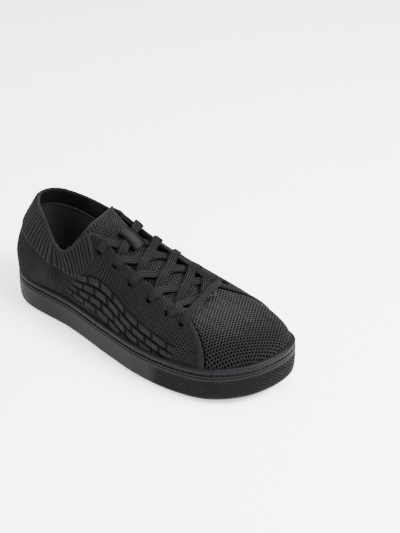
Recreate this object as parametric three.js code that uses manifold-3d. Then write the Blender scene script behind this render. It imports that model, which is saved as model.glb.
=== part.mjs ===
// A right low-top sneaker: a knitted upper on a stitched rubber cup sole, laced shut.
// Millimetres. +X points to the toe, -Y to the outer (lateral) side, +Z up. The origin is under
// the middle of the sole, on the ground. Every shell of the upper is a patch of one master
// surface, which runs from the sole up to the edge of the foot opening and the throat.
import * as THREE from 'three';
import { mergeVertices } from 'three/addons/utils/BufferGeometryUtils.js';
import Module from 'manifold-3d';

const wasm = await Module();
wasm.setup();

// Driving dimensions
const gap = 0.35; // clearance between neighbouring pieces
const toeSpringHeight = 8; // how far the toe of the sole is lifted
const toeSpringStart = 50; // where the lift begins
const floorThickness = 7; // rubber under the foot
const wallHeight = 29.5; // top of the sole's side wall
const wallThickness = 5;
const heelSeat = 19; // underside of the lasting board at the heel
const foreSeat = 13; // and under the ball of the foot
const boardThickness = 2;
const socklinerThickness = 4;
const knitThickness = 1.8;
const stiffenerThickness = 0.7;
const liningThickness = 1;
const laceWidth = 7;
const laceThickness = 1.3;
const laceRoom = 0.9; // what a lace needs between two layers, so that it can be pulled through
const eyeletRadius = 3.4;
const eyeletPairs = 6;
const flexX = 60; // the line across the ball of the foot where the sole bends
const flexZ = 14;
const flexNotch = THREE.MathUtils.degToRad(27); // room above the bend line for 25 degrees

const outlineTurns = 18; // the sole outline and the opening share this many control points
const ringSteps = 60;

// Outline of the sole and, point for point, the edge of the opening above it: from the back of
// the heel along the outer side to the toe, and home along the inner side.
const solePoints = [
  [-140, 0], [-130, -22], [-104, -38], [-50, -38.5], [0, -44], [40, -47],
  [80, -43.5], [110, -34], [132, -12], [140, 18], [133, 41], [111, 51],
  [75, 52], [35, 47.5], [-10, 36], [-60, 33], [-105, 33.5], [-130, 21],
];
const openingPoints = [
  [-120, 2, 90], [-108, -13, 90], [-88, -25, 88], [-58, -34, 74], [-29, -21, 93], [6, -21, 79],
  [42, -21, 68.5], [60, -20, 62.5], [70, -13, 60.5], [76, 1, 60], [72, 13, 61], [60, 18, 65],
  [42, 18, 72], [6, 15, 84], [-34, 14, 97], [-66, 31, 81], [-94, 28, 84], [-113, 17, 89],
];

const closedCurve = (points) => new THREE.CatmullRomCurve3(
  points.map(([x, y, z = 0]) => new THREE.Vector3(x, y, z)), true, 'catmullrom', 0.5,
);
const outlineCurve = closedCurve(solePoints);
const openingCurve = closedCurve(openingPoints);
const outlineBox = new THREE.Box3().setFromPoints(outlineCurve.getPoints(720));
const outlineCentre = outlineBox.getCenter(new THREE.Vector3());

// Turn k of the outline's control points, as the curves' own parameter.
const turn = (k) => k / outlineTurns;
const wrap = (u) => ((u % 1) + 1) % 1;
const smooth = (x, low, high) => THREE.MathUtils.smoothstep(x, low, high);
const mix = THREE.MathUtils.lerp;

function outline(u, inset) {
  const at = outlineCurve.getPoint(wrap(u)).sub(outlineCentre);
  const along = outlineCurve.getTangent(wrap(u));
  return new THREE.Vector3(at.x - along.y * inset, at.y + along.x * inset, 0);
}

const toeSpring = (x) => toeSpringHeight * Math.max(0, (x - toeSpringStart) / 90) ** 2;
const seat = (x) => mix(heelSeat, foreSeat, smooth(x, -60, 40)) + toeSpring(x);

// The master surface: v runs from 0 at the sole to 1 at the opening's edge.
const upperInset = wallThickness + 1;
function surface(u, v) {
  const base = outline(u, upperInset);
  const edge = openingCurve.getPoint(wrap(u));
  const low = seat(base.x) + gap;
  const lastAngle = THREE.MathUtils.degToRad(mix(42, 84, smooth(edge.x, -60, 70)));
  const angle = v * lastAngle;
  const across = (1 - Math.cos(angle)) / (1 - Math.cos(lastAngle));
  const rise = Math.sin(angle) / Math.sin(lastAngle);
  const fullness = mix(4.5, 9, smooth(base.x, 20, 110)) * Math.sin(Math.PI * v) * smooth(v, 0, 0.4);
  const out = new THREE.Vector3(base.x - edge.x, base.y - edge.y, 0).normalize();
  return new THREE.Vector3(
    mix(base.x, edge.x, across) + out.x * fullness * 0.7,
    mix(base.y, edge.y, across) + out.y * fullness * 0.7,
    mix(low, edge.z, rise) + fullness * 0.1,
  );
}

function outward(u, v) {
  const step = 0.004;
  const du = surface(u + step, v).sub(surface(u - step, v));
  const dv = surface(u, Math.min(1, v + step)).sub(surface(u, Math.max(0, v - step)));
  return du.cross(dv).normalize();
}

// A point under the master surface (or over it, where depth is negative).
const under = (u, v, depth) => surface(u, v).addScaledVector(outward(u, v), -depth);

// ---- building closed meshes ----

function geometryOf(vertices, triangles) {
  const geometry = new THREE.BufferGeometry();
  const numbers = vertices.flatMap((point) => point.toArray());
  geometry.setAttribute('position', new THREE.Float32BufferAttribute(numbers, 3));
  geometry.setIndex(triangles);
  geometry.computeVertexNormals();
  return geometry;
}

// A solid between two grids of points, [row][column], with its four edges closed.
function sheetSolid(outer, inner) {
  const rows = outer.length;
  const columns = outer[0].length;
  const vertices = [...outer.flat(), ...inner.flat()];
  const front = (r, c) => r * columns + c;
  const back = (r, c) => rows * columns + front(r, c);
  const triangles = [];
  const quad = (a, b, c, d) => triangles.push(a, b, c, a, c, d);
  for (let r = 0; r < rows - 1; r += 1) {
    for (let c = 0; c < columns - 1; c += 1) {
      quad(front(r, c), front(r, c + 1), front(r + 1, c + 1), front(r + 1, c));
      quad(back(r, c), back(r + 1, c), back(r + 1, c + 1), back(r, c + 1));
    }
    quad(front(r, 0), front(r + 1, 0), back(r + 1, 0), back(r, 0));
    quad(front(r, columns - 1), back(r, columns - 1), back(r + 1, columns - 1), front(r + 1, columns - 1));
  }
  for (let c = 0; c < columns - 1; c += 1) {
    quad(front(0, c), back(0, c), back(0, c + 1), front(0, c + 1));
    quad(front(rows - 1, c), front(rows - 1, c + 1), back(rows - 1, c + 1), back(rows - 1, c));
  }
  return geometryOf(vertices, triangles);
}

// Places spread evenly between two turns of the outline.
const spread = (from, to, steps) => Array.from({ length: steps + 1 }, (_, i) => mix(from, to, i / steps));

// A patch of the upper between two depths: its columns may lean and its rims may wave.
function shell({ columns, low = () => 0, high = () => 1, depth, thickness, rows }) {
  const layer = (d) => spread(0, 1, rows).map((f) => (
    columns(f).map((u) => under(u, mix(low(u), high(u), f), d))
  ));
  return sheetSolid(layer(depth), layer(depth + thickness));
}

// A solid of closed rings stacked from the bottom up. Point i of a ring's outer side lies straight
// across from point n - i of its inner side, so the ends are closed by strips across the shoe.
function ringSolid(rings) {
  const n = rings[0].length;
  const vertices = rings.flat();
  const triangles = [];
  for (let r = 0; r < rings.length - 1; r += 1) {
    for (let i = 0; i < n; i += 1) {
      const j = (i + 1) % n;
      triangles.push(r * n + i, r * n + j, (r + 1) * n + j, r * n + i, (r + 1) * n + j, (r + 1) * n + i);
    }
  }
  const last = (rings.length - 1) * n;
  const close = (a, b, c) => triangles.push(a, c, b, last + a, last + b, last + c);
  close(0, 1, n - 1);
  for (let i = 1; i < n / 2 - 1; i += 1) {
    close(i, i + 1, n - i - 1);
    close(i, n - i - 1, n - i);
  }
  close(n / 2 - 1, n / 2, n / 2 + 1);
  return geometryOf(vertices, triangles);
}

// A bar swept along points, with a width direction given at each one.
function sweptBar(stations) {
  const vertices = [];
  const triangles = [];
  for (const { at, side, lift, width, thickness } of stations) {
    for (const [a, b] of [[-1, -1], [1, -1], [1, 1], [-1, 1]]) {
      vertices.push(at.clone().addScaledVector(side, a * width / 2).addScaledVector(lift, b * thickness / 2));
    }
  }
  const last = (stations.length - 1) * 4;
  for (let s = 0; s < stations.length - 1; s += 1) {
    for (let i = 0; i < 4; i += 1) {
      const a = s * 4 + i;
      const b = s * 4 + ((i + 1) % 4);
      triangles.push(a, b, b + 4, a, b + 4, a + 4);
    }
  }
  triangles.push(0, 2, 1, 0, 3, 2, last, last + 1, last + 2, last, last + 2, last + 3);
  return geometryOf(vertices, triangles);
}

function solidOf(geometry) {
  const bare = new THREE.BufferGeometry();
  bare.setAttribute('position', geometry.getAttribute('position'));
  if (geometry.index) bare.setIndex(geometry.index);
  const merged = mergeVertices(bare, 1e-4);
  return new wasm.Manifold(new wasm.Mesh({
    numProp: 3,
    vertProperties: new Float32Array(merged.getAttribute('position').array),
    triVerts: new Uint32Array(merged.index.array),
  }));
}

function geometryFrom(solid) {
  const mesh = solid.getMesh();
  const geometry = new THREE.BufferGeometry();
  geometry.setAttribute('position', new THREE.BufferAttribute(new Float32Array(mesh.vertProperties), 3));
  geometry.setIndex(new THREE.BufferAttribute(new Uint32Array(mesh.triVerts), 1));
  geometry.computeVertexNormals();
  return geometry;
}

// ---- the two sides of the bend line ----

// A prism across the shoe whose side view is the given outline in X and Z.
function crossPrism(points) {
  const reach = 80;
  const ring = (y) => points.map(([x, z]) => new THREE.Vector3(x, y, z));
  const near = ring(-reach);
  const far = ring(reach);
  const n = points.length;
  const triangles = [];
  for (let i = 0; i < n; i += 1) {
    const j = (i + 1) % n;
    triangles.push(i, j, n + j, i, n + j, n + i);
  }
  for (let i = 1; i < n - 1; i += 1) triangles.push(0, i + 1, i, n, n + i, n + i + 1);
  return solidOf(geometryOf([...near, ...far], triangles));
}

const sky = 90;
const deep = -20;
const beyond = 200;
const lean = (sky - flexZ) * Math.tan(flexNotch);
const aheadOfBend = crossPrism([
  [flexX - gap / 2, deep], [flexX - gap / 2, sky], [beyond, sky], [beyond, deep],
]);
const behindBend = crossPrism([
  [-beyond, deep], [-beyond, sky], [flexX + gap / 2 + lean, sky], [flexX + gap / 2, flexZ],
  [flexX + gap / 2, deep],
]);
const rearOf = (solid) => geometryFrom(solid.subtract(aheadOfBend));
const frontOf = (solid) => geometryFrom(solid.subtract(behindBend));

// ---- sole ----

// The place on the inner side that lies straight across from x.
function acrossFrom(x, inset, toeEnd, heelEnd) {
  let [low, high] = [toeEnd, heelEnd];
  for (let i = 0; i < 30; i += 1) {
    const middle = (low + high) / 2;
    [low, high] = outline(middle, inset).x > x ? [middle, high] : [low, middle];
  }
  return low;
}

// A ring of the outline at an inset, its height a function of x.
function ringAt(inset, height) {
  const places = spread(-0.06, 0.56, 620);
  const furthest = (sign, near) => places
    .filter((u) => Math.abs(u - near) < 0.07)
    .reduce((best, u) => (sign * outline(u, inset).x > sign * outline(best, inset).x ? u : best));
  const heelEnd = furthest(-1, 0);
  const toeEnd = furthest(1, 0.5);
  const outer = spread(heelEnd, toeEnd, ringSteps / 2);
  const inner = outer.slice(1, -1).reverse()
    .map((u) => acrossFrom(outline(u, inset).x, inset, toeEnd, heelEnd + 1));
  return [...outer, ...inner].map((u) => {
    const at = outline(u, inset);
    return at.setZ(height(at.x));
  });
}
const raised = (z) => (x) => z + toeSpring(x);

// The cup's side view: rounded foot, plain wall, stitch groove, rounded rim.
const grooveHeight = 24.6;
const grooveDepth = 1.3;
const wallProfile = [
  [3.2, 0], [0.9, 1.6], [0.2, 5], [0, 12], [0.1, 21], [0.4, grooveHeight - 1.6],
  [0.4 + grooveDepth, grooveHeight - 0.8], [0.4 + grooveDepth, grooveHeight + 0.8],
  [0.4, grooveHeight + 1.6], [0.8, wallHeight - 0.9], [2, wallHeight],
];
const cupSolid = () => {
  const outside = solidOf(ringSolid(wallProfile.map(([inset, z]) => ringAt(inset, raised(z)))));
  const hollow = solidOf(ringSolid([
    ringAt(wallThickness, raised(floorThickness)),
    ringAt(wallThickness, raised(wallHeight + 5)),
  ]));
  return outside.subtract(hollow);
};

const layer = (inset, bottom, top) => solidOf(ringSolid([ringAt(inset, bottom), ringAt(inset, top)]));
const midsoleSolid = () => layer(wallThickness + gap, raised(floorThickness + gap), (x) => seat(x) - gap / 2);
const insideUpper = upperInset + knitThickness + stiffenerThickness + liningThickness + 4 * gap + 1.5;
const boardSolid = () => layer(insideUpper, (x) => seat(x) + gap, (x) => seat(x) + gap + boardThickness);
const socklinerBottom = (x) => seat(x) + 2 * gap + boardThickness;
const socklinerTop = (x) => socklinerBottom(x) + socklinerThickness;
const socklinerSolid = () => layer(insideUpper, socklinerBottom, socklinerTop);

// The thread of the sole stitching, in its groove.
const threadSize = 0.9;
const threadRing = () => {
  const loop = (inset, dz) => ringAt(inset, raised(grooveHeight + dz));
  const middle = 0.4 + grooveDepth - gap - threadSize / 2;
  const loops = [
    loop(middle, -threadSize / 2), loop(middle - threadSize / 2, 0),
    loop(middle, threadSize / 2), loop(middle + threadSize / 2, 0),
  ];
  const vertices = loops.flat();
  const triangles = [];
  for (let s = 0; s < loops.length; s += 1) {
    const t = (s + 1) % loops.length;
    for (let i = 0; i < ringSteps; i += 1) {
      const j = (i + 1) % ringSteps;
      triangles.push(s * ringSteps + i, s * ringSteps + j, t * ringSteps + j);
      triangles.push(s * ringSteps + i, t * ringSteps + j, t * ringSteps + i);
    }
  }
  return solidOf(geometryOf(vertices, triangles));
};

// ---- upper ----

const seamLateral = (f) => turn(6.75 + 0.5 * f * f);
const seamMedial = (f) => turn(11.25 - 0.5 * f * f);
const seamStep = turn(0.05);
const heelSplit = turn(0.03);
const collarFront = turn(3.87); // where the rib collar ends at the lateral eyestay
const collarFrontMedial = turn(14.1) - 1; // and at the medial one, counted back from the heel

// The rib collar covers the wall above this height; its band narrows towards the throat.
const ribLow = (u) => {
  const around = u > 0.5 ? u - 1 : u;
  return mix(0.6, 0.77, smooth(Math.abs(around), turn(3.2), turn(4)));
};

const firmDepth = knitThickness + 1.5 * gap;
const liningDepth = firmDepth + stiffenerThickness + gap;

const toeBox = () => shell({
  columns: (f) => spread(seamLateral(f) + seamStep, seamMedial(f) - seamStep, 22),
  depth: 0, thickness: knitThickness, rows: 7,
});

// Eyelets from the toe end up. The outer row starts a little further down the side.
const lateralEyelets = spread(turn(6.45), turn(4.06), eyeletPairs - 1);
const medialEyelets = spread(turn(11.34), turn(13.75), eyeletPairs - 1);
const eyeletV = (u) => (u < 0.5 ? mix(0.84, 0.7, smooth(u, turn(4), turn(6.6))) : 0.86);

const cylinderAxis = new THREE.Vector3(0, 1, 0);
function punch(u) {
  const hole = new THREE.CylinderGeometry(eyeletRadius, eyeletRadius, 14, 8);
  hole.applyQuaternion(new THREE.Quaternion().setFromUnitVectors(cylinderAxis, outward(u, eyeletV(u))));
  hole.translate(...surface(u, eyeletV(u)).toArray());
  return solidOf(hole);
}
const punched = (geometry, eyelets) =>
  geometryFrom(eyelets.reduce((solid, u) => solid.subtract(punch(u)), solidOf(geometry)));

// One knitted side panel: low under the ribs of the collar, full height beside the throat.
const quarterTop = (u, front) => (Math.abs(u) < Math.abs(front) ? ribLow(u) - 0.02 : 1);
const quarterLateral = () => punched(shell({
  columns: (f) => [
    ...spread(heelSplit, collarFront, 12), ...spread(collarFront + 0.0015, seamLateral(f), 11),
  ],
  high: (u) => quarterTop(u, collarFront + 0.001),
  depth: 0, thickness: knitThickness, rows: 7,
}), lateralEyelets);
const quarterMedial = () => punched(shell({
  columns: (f) => [
    ...spread(seamMedial(f) - 1, collarFrontMedial - 0.0015, 11),
    ...spread(collarFrontMedial, -heelSplit, 12),
  ],
  high: (u) => quarterTop(u, collarFrontMedial - 0.001),
  depth: 0, thickness: knitThickness, rows: 7,
}), medialEyelets);

const ribCollar = () => shell({
  columns: () => spread(collarFrontMedial + 0.003, collarFront - 0.003, 34),
  low: ribLow, depth: 0, thickness: 2.4, rows: 3,
});
const collarLining = () => shell({
  columns: () => spread(turn(-3.8), turn(3.8), 26), low: () => 0.08, high: () => 0.97,
  depth: liningDepth, thickness: liningThickness, rows: 6,
});
const heelCounter = () => shell({
  columns: () => spread(turn(-2.4), turn(2.4), 16), low: () => 0.04, high: () => 0.56,
  depth: firmDepth, thickness: stiffenerThickness, rows: 4,
});
const toePuff = () => shell({
  columns: () => spread(turn(7.3), turn(10.7), 14), low: () => 0.05, high: () => 0.55,
  depth: firmDepth, thickness: stiffenerThickness, rows: 4,
});
const eyestay = (first, last, eyelets) => punched(shell({
  columns: () => spread(turn(first), turn(last), 14), low: () => 0.61, high: () => 0.94,
  depth: firmDepth, thickness: stiffenerThickness, rows: 3,
}), eyelets);

// ---- tongue ----

const laceTop = -(laceThickness / 2 + laceRoom / 2);
const laceUnder = firmDepth + stiffenerThickness + laceRoom + laceThickness / 2;
const tongueDepth = laceUnder + laceThickness / 2 + 2 * laceRoom;
const tongueThickness = 2.6;
const tongueCrown = 3; // its height between the throat's edges, over a straight line
const tongueFlank = 0.55; // the share of the half width that shows between the throat's edges
const tongueEnd = 1.24; // t is 0 at the root, 1 at the top of the throat

const outerRow = (t) => turn(mix(7.6, 4.05, t));
const innerRow = (t) => turn(mix(10.4, 13.95, t));

// w runs from -1 at the outer edge to 1 at the inner edge.
function tonguePoint(t, w, extra) {
  const depth = tongueDepth + extra;
  const free = smooth(t, 1, tongueEnd);
  const reach = Math.min(1, Math.abs(w) / tongueFlank);
  if (reach === 1) {
    const out = (Math.abs(w) - tongueFlank) / (1 - tongueFlank);
    return under(w < 0 ? outerRow(t) : innerRow(t), mix(1, mix(0.72, 0.9, free), out), depth);
  }
  const crown = mix(tongueCrown, 24, free);
  const middle = under(outerRow(t), 1, depth).lerp(under(innerRow(t), 1, depth), (1 + w / tongueFlank) / 2);
  return middle.addScaledVector(new THREE.Vector3(0.5, 0.3, 0.95), crown * (1 - reach ** mix(2, 4, free)));
}
const tongue = () => {
  const across = [-1, -0.85, -0.7, -0.55, -0.36, -0.18, 0, 0.18, 0.36, 0.55, 0.7, 0.85, 1];
  const face = (extra) => spread(0, tongueEnd, 16).map((t) => across.map((w) => tonguePoint(t, w, extra)));
  return sheetSolid(face(0), face(tongueThickness));
};

// ---- lace, its tips and its keeper ----

const sideOf = { lateral: lateralEyelets, medial: medialEyelets };
const opposite = { lateral: 'medial', medial: 'lateral' };
const worldUp = new THREE.Vector3(0, 0, 1);

// A station of the lace on the upper, lying flat. A negative flip turns its faces over.
const flatOn = (u, v, depth, width, flip) => (
  { at: under(u, v, depth), lift: outward(u, v).multiplyScalar(flip), width }
);
// The place on a throat edge, as a turn, that has a given x.
function edgeAt(side, x) {
  let [high, low] = side === 'lateral' ? [turn(8.6), turn(4)] : [turn(9.4), turn(14)];
  for (let i = 0; i < 24; i += 1) {
    const middle = (low + high) / 2;
    [low, high] = openingCurve.getPoint(middle).x > x ? [low, middle] : [middle, high];
  }
  return low;
}
const eyeletX = (u) => surface(u, eyeletV(u)).x;
const edgeTowards = (side, u, goal) => edgeAt(side, mix(eyeletX(u), eyeletX(goal), 0.08));

// A station between an eyelet and the throat's edge, a share of the way to that edge.
const beside = (u, edge, share, depth, width, flip) => (
  flatOn(mix(u, edge, share), mix(eyeletV(u), 1, share), depth, width, flip)
);
// The lace's turn down through an eyelet, seen as it arrives from the throat.
function throughEyelet(u, edge, flip) {
  const over = beside(u, edge, 0.2, laceTop - 0.6, 3.2, flip);
  const before = surface(mix(u, edge, 0.2), mix(eyeletV(u), 1, 0.2));
  const onward = surface(u, eyeletV(u)).sub(before).normalize();
  return [over, { at: under(u, eyeletV(u), 1.6), lift: onward.multiplyScalar(flip), width: 1.6 }];
}
// Where a strand comes out from under one throat edge, and where it passes over the other.
function strandEnds(side, row, flip) {
  const other = opposite[side];
  const [start, end] = [sideOf[side][row], sideOf[other][row + 1]];
  const [out, home] = [edgeTowards(side, start, end), edgeTowards(other, end, start)];
  return {
    start, end, out, home,
    leave: flatOn(out, 0.99, laceUnder + 0.58, laceWidth, -flip),
    arrive: flatOn(home, 1, laceTop - 1.3, laceWidth, -flip),
  };
}
// A point on the sheet stretched straight across between the throat's two edges.
function onThroat(x, y) {
  const [a, b] = ['lateral', 'medial'].map((side) => openingCurve.getPoint(edgeAt(side, x)));
  return new THREE.Vector3(x, y, mix(a.z, b.z, (y - a.y) / (b.y - a.y)));
}
function throatUp(x, y) {
  const along = onThroat(x + 4, y).sub(onThroat(x - 4, y));
  const across = onThroat(x, y + 4).sub(onThroat(x, y - 4));
  return along.cross(across).normalize();
}
// Where the two strands of a row cross, seen from above.
function crossing(row) {
  const [a, b] = ['lateral', 'medial'].map((side) => strandEnds(side, row, 1));
  const alongA = a.arrive.at.clone().sub(a.leave.at);
  const alongB = b.arrive.at.clone().sub(b.leave.at);
  const apart = b.leave.at.clone().sub(a.leave.at);
  const turned = alongA.x * alongB.y - alongA.y * alongB.x;
  const share = (apart.x * alongB.y - apart.y * alongB.x) / turned;
  const at = a.leave.at.clone().addScaledVector(alongA, share);
  return onThroat(at.x, at.y);
}
// One strand. The one that starts on the outer side lies over the other one of its row.
const upperLevel = 0.9; // over the throat's sheet, at the crossing
const lowerLevel = -1.2;
const levelReach = (row) => (row === 0 ? 6.8 : 10); // each strand keeps its level this far either way
function strand(side, row, flip) {
  const { start, end, out, home, leave, arrive } = strandEnds(side, row, flip);
  const centre = crossing(row);
  const level = side === 'lateral' ? upperLevel : lowerLevel;
  const along = arrive.at.clone().sub(leave.at).setZ(0).normalize();
  const crossingPart = [-1, 0, 1].map((step) => {
    const { x, y } = centre.clone().addScaledVector(along, step * levelReach(row));
    const lift = throatUp(x, y);
    const at = onThroat(x, y).addScaledVector(lift, level);
    return { at, lift: lift.multiplyScalar(-flip), width: laceWidth };
  });
  return [
    beside(start, out, 0.2, laceUnder + 0.2, 3.4, -flip),
    leave,
    ...crossingPart,
    arrive,
    beside(end, home, 0.5, laceTop - 1.1, laceWidth * 0.8, -flip),
    ...throughEyelet(end, home, -flip),
  ];
}
// The loose end, tucked down beside the tongue and forward along the wall.
const tailSteps = 4;
function tailAt(side, step, flip) {
  const start = sideOf[side][eyeletPairs - 1];
  const direction = side === 'lateral' ? 1 : -1;
  const v = eyeletV(start) - 0.13 * Math.sqrt(step);
  return flatOn(start + direction * turn(0.08 + 0.32 * step), v, laceUnder + 0.25 * step, 4.5, flip);
}
function half(side) {
  const first = sideOf[side][0];
  const route = throughEyelet(first, mix(first, edgeAt(side, eyeletX(first)), 0.6), 1).slice(1);
  let from = side;
  let flip = 1;
  for (let row = 0; row < eyeletPairs - 1; row += 1) {
    route.push(...strand(from, row, flip));
    from = opposite[from];
    flip = -flip;
  }
  return [...route, ...spread(0, tailSteps, tailSteps).map((step) => tailAt(from, step, -flip))];
}
// The straight bar across the toe end of the throat.
const barRise = 5.6;
function bar() {
  const down = ['lateral', 'medial'].map((side) => {
    const u = sideOf[side][0];
    return throughEyelet(u, mix(u, edgeAt(side, eyeletX(u)), 0.6), 1)[0];
  });
  const across = spread(0.2, 0.8, 3).map((share) => ({
    at: down[0].at.clone().lerp(down[1].at, share)
      .addScaledVector(worldUp, barRise * (1 - (2 * share - 1) ** 4)),
    lift: worldUp.clone(),
    width: laceWidth,
  }));
  return [down[0], ...across, down[1]];
}
const withSides = (route) => route.map((station, i) => {
  const along = route[Math.min(route.length - 1, i + 1)].at.clone().sub(route[Math.max(0, i - 1)].at);
  const side = station.lift.clone().cross(along).normalize();
  return { thickness: laceThickness, ...station, side };
});
const lace = () => sweptBar(withSides([...half('lateral').reverse(), ...bar(), ...half('medial')]));

// A crimped tip in line with an end of the lace.
const laceTip = (side) => sweptBar(withSides([tailSteps + 0.12, tailSteps + 1.1].map((step) => (
  { ...tailAt(side, step, 1), width: 3.2, thickness: 1.6 }
))));

// The loop of webbing on the tongue that the last crossing runs through.
const keeperLength = 21;
const keeperWidth = 12;
const keeperThickness = 1.1;
const throatMiddle = (t) => under(outerRow(t), 1, 0).add(under(innerRow(t), 1, 0)).multiplyScalar(0.5);
function keeper() {
  const centre = crossing(eyeletPairs - 2);
  const lift = throatUp(centre.x, centre.y);
  const slope = throatMiddle(0.9).sub(throatMiddle(0.8)).projectOnPlane(lift).normalize();
  const side = slope.clone().cross(lift).normalize();
  const crest = upperLevel + laceThickness / 2 + keeperThickness / 2 + 2 * gap;
  const foot = tongueCrown - tongueDepth + keeperThickness / 2 + 4 * gap;
  return sweptBar(spread(-1, 1, 8).map((s) => ({
    at: centre.clone().addScaledVector(slope, -s * keeperLength / 2)
      .addScaledVector(lift, mix(crest, foot, smooth(Math.abs(s), 0.7, 1))),
    side, lift, width: keeperWidth, thickness: keeperThickness,
  })));
}

const group = new THREE.Group();
const palette = {
  knit: { color: 0x141416, roughness: 0.9, metalness: 0 },
  rib: { color: 0x17171a, roughness: 0.88, metalness: 0 },
  mesh: { color: 0x1a1a1d, roughness: 0.85, metalness: 0 },
  lace: { color: 0x101012, roughness: 0.8, metalness: 0 },
  rubber: { color: 0x1b1a1f, roughness: 0.55, metalness: 0 },
  foam: { color: 0x2a2a2c, roughness: 0.9, metalness: 0 },
  board: { color: 0x55504a, roughness: 0.9, metalness: 0 },
  stiffener: { color: 0x8a867e, roughness: 0.7, metalness: 0 },
  lining: { color: 0x121214, roughness: 0.9, metalness: 0 },
  webbing: { color: 0x0e0e10, roughness: 0.5, metalness: 0 },
  thread: { color: 0x26252b, roughness: 0.7, metalness: 0 },
  film: { color: 0x0c0c0e, roughness: 0.3, metalness: 0 },
};
function add(name, geometry, finish) {
  const mesh = new THREE.Mesh(geometry, new THREE.MeshStandardMaterial(palette[finish]));
  mesh.name = name;
  group.add(mesh);
}

const splitPieces = [
  ['outsole', cupSolid(), 'rubber'],
  ['midsole', midsoleSolid(), 'foam'],
  ['lasting_board', boardSolid(), 'board'],
  ['sockliner', socklinerSolid(), 'lining'],
  ['sole_thread', threadRing(), 'thread'],
];
for (const [name, solid, finish] of splitPieces) {
  add(`${name}_rear`, rearOf(solid), finish);
  add(`${name}_front`, frontOf(solid), finish);
}
add('toe_box', toeBox(), 'mesh');
add('quarter_lateral', quarterLateral(), 'knit');
add('quarter_medial', quarterMedial(), 'knit');
add('rib_collar', ribCollar(), 'rib');
add('collar_lining', collarLining(), 'lining');
add('heel_counter', heelCounter(), 'stiffener');
add('toe_puff', toePuff(), 'stiffener');
add('eyestay_lateral', eyestay(3.93, 6.7, lateralEyelets), 'stiffener');
add('eyestay_medial', eyestay(11.1, 13.95, medialEyelets), 'stiffener');
add('tongue', tongue(), 'mesh');
add('lace', lace(), 'lace');
add('lace_keeper', keeper(), 'webbing');
add('lace_tip_lateral', laceTip('lateral'), 'film');
add('lace_tip_medial', laceTip('medial'), 'film');

export default group;
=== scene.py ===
import math

import bpy
import numpy as np
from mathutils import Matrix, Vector


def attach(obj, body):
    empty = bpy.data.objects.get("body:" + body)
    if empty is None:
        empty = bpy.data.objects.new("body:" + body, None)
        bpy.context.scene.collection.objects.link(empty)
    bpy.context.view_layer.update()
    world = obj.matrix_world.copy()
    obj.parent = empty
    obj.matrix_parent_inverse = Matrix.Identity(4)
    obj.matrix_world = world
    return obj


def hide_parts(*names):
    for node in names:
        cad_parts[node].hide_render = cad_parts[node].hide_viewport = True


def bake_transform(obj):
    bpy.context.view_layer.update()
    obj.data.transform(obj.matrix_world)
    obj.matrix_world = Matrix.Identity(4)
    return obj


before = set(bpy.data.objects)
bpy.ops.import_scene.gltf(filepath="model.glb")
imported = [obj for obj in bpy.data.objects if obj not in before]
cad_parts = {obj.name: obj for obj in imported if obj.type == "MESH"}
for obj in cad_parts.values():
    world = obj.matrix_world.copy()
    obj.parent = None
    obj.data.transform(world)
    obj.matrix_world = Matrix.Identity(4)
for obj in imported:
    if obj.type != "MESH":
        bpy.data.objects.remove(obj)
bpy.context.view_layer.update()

# A right knit sneaker on a stitched cup sole. Lengths below are millimetres, as in the packed
# part, until add_mesh turns them into metres. The knitted pieces are patches of one master
# surface: u goes once round the shoe, v goes from the sole (0) to the opening's edge (1).
MM = 0.001

# The two bodies.
REAR, FORE = "rearfoot", "forefoot"

# Thicknesses of the upper's layers and the gap between them, then the cup of the sole.
KNIT, STIFFENER, LINING, GAP = 1.8, 0.7, 1.0, 0.35
WALL, FLOOR, STITCH_HEIGHT = 5.0, 7.0, 24.6
LACE_WIDTH, LACE_THICKNESS, LACE_ROOM = 7.0, 1.3, 0.9
EYELET_RADIUS, EYELET_PAIRS = 3.0, 6

# Spacing of the holes in the knitted quarters and in the mesh of toe box and tongue.
KNIT_PITCH, MESH_PITCH = 2.4, 2.7

# Round the shoe both outlines have 18 points, from the heel along the outer side to the toe, so a
# place round it is also given as a number of points: turn(9) is at the toe.
TURNS = 18
SOLE_FORWARD = 3.5
SOLE_POINTS = np.array([
    (-140, 0), (-130, -22), (-104, -38), (-50, -38.5), (0, -44), (40, -47),
    (80, -43.5), (110, -34), (132, -12), (140, 18), (133, 41), (111, 51),
    (75, 52), (35, 47.5), (-10, 36), (-60, 33), (-105, 33.5), (-130, 21),
], float)
OPENING_POINTS = np.array([
    (-120, 2, 90), (-108, -13, 90), (-88, -25, 88), (-56, -35, 71), (-29, -21, 93), (6, -21, 79),
    (42, -21, 68.5), (60, -20, 62.5), (70, -13, 60.5), (76, 1, 60), (72, 13, 61), (60, 18, 65),
    (42, 18, 72), (6, 15, 84), (-34, 14, 97), (-66, 31, 81), (-94, 28, 84), (-113, 17, 89),
], float)


# ---- camera and light ----

# Places in metres, angles in degrees, lens in millimetres.
CAMERA_TARGET, CAMERA_DISTANCE, CAMERA_LENS = (0.0006, 0.0747, 0.0287), 1.0424, 106.5
CAMERA_AZIMUTH, CAMERA_ELEVATION = 42.17, 32.12
LIGHT_TARGET = (0, 0, 0.04)
FLOOR_REACH = 6.0


def add_object(name, data):
    made = bpy.data.objects.new(name, data)
    bpy.context.collection.objects.link(made)
    return made


def look(thing, target, azimuth, elevation, distance):
    """Places a thing so that it looks at a target from a direction."""
    a, e = math.radians(azimuth), math.radians(elevation)
    back = Vector((math.sin(a) * math.cos(e), -math.cos(a) * math.cos(e), math.sin(e)))
    thing.rotation_mode = "QUATERNION"
    thing.location = Vector(target) + back * distance
    thing.rotation_quaternion = (-back).to_track_quat("-Z", "Y")


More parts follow.
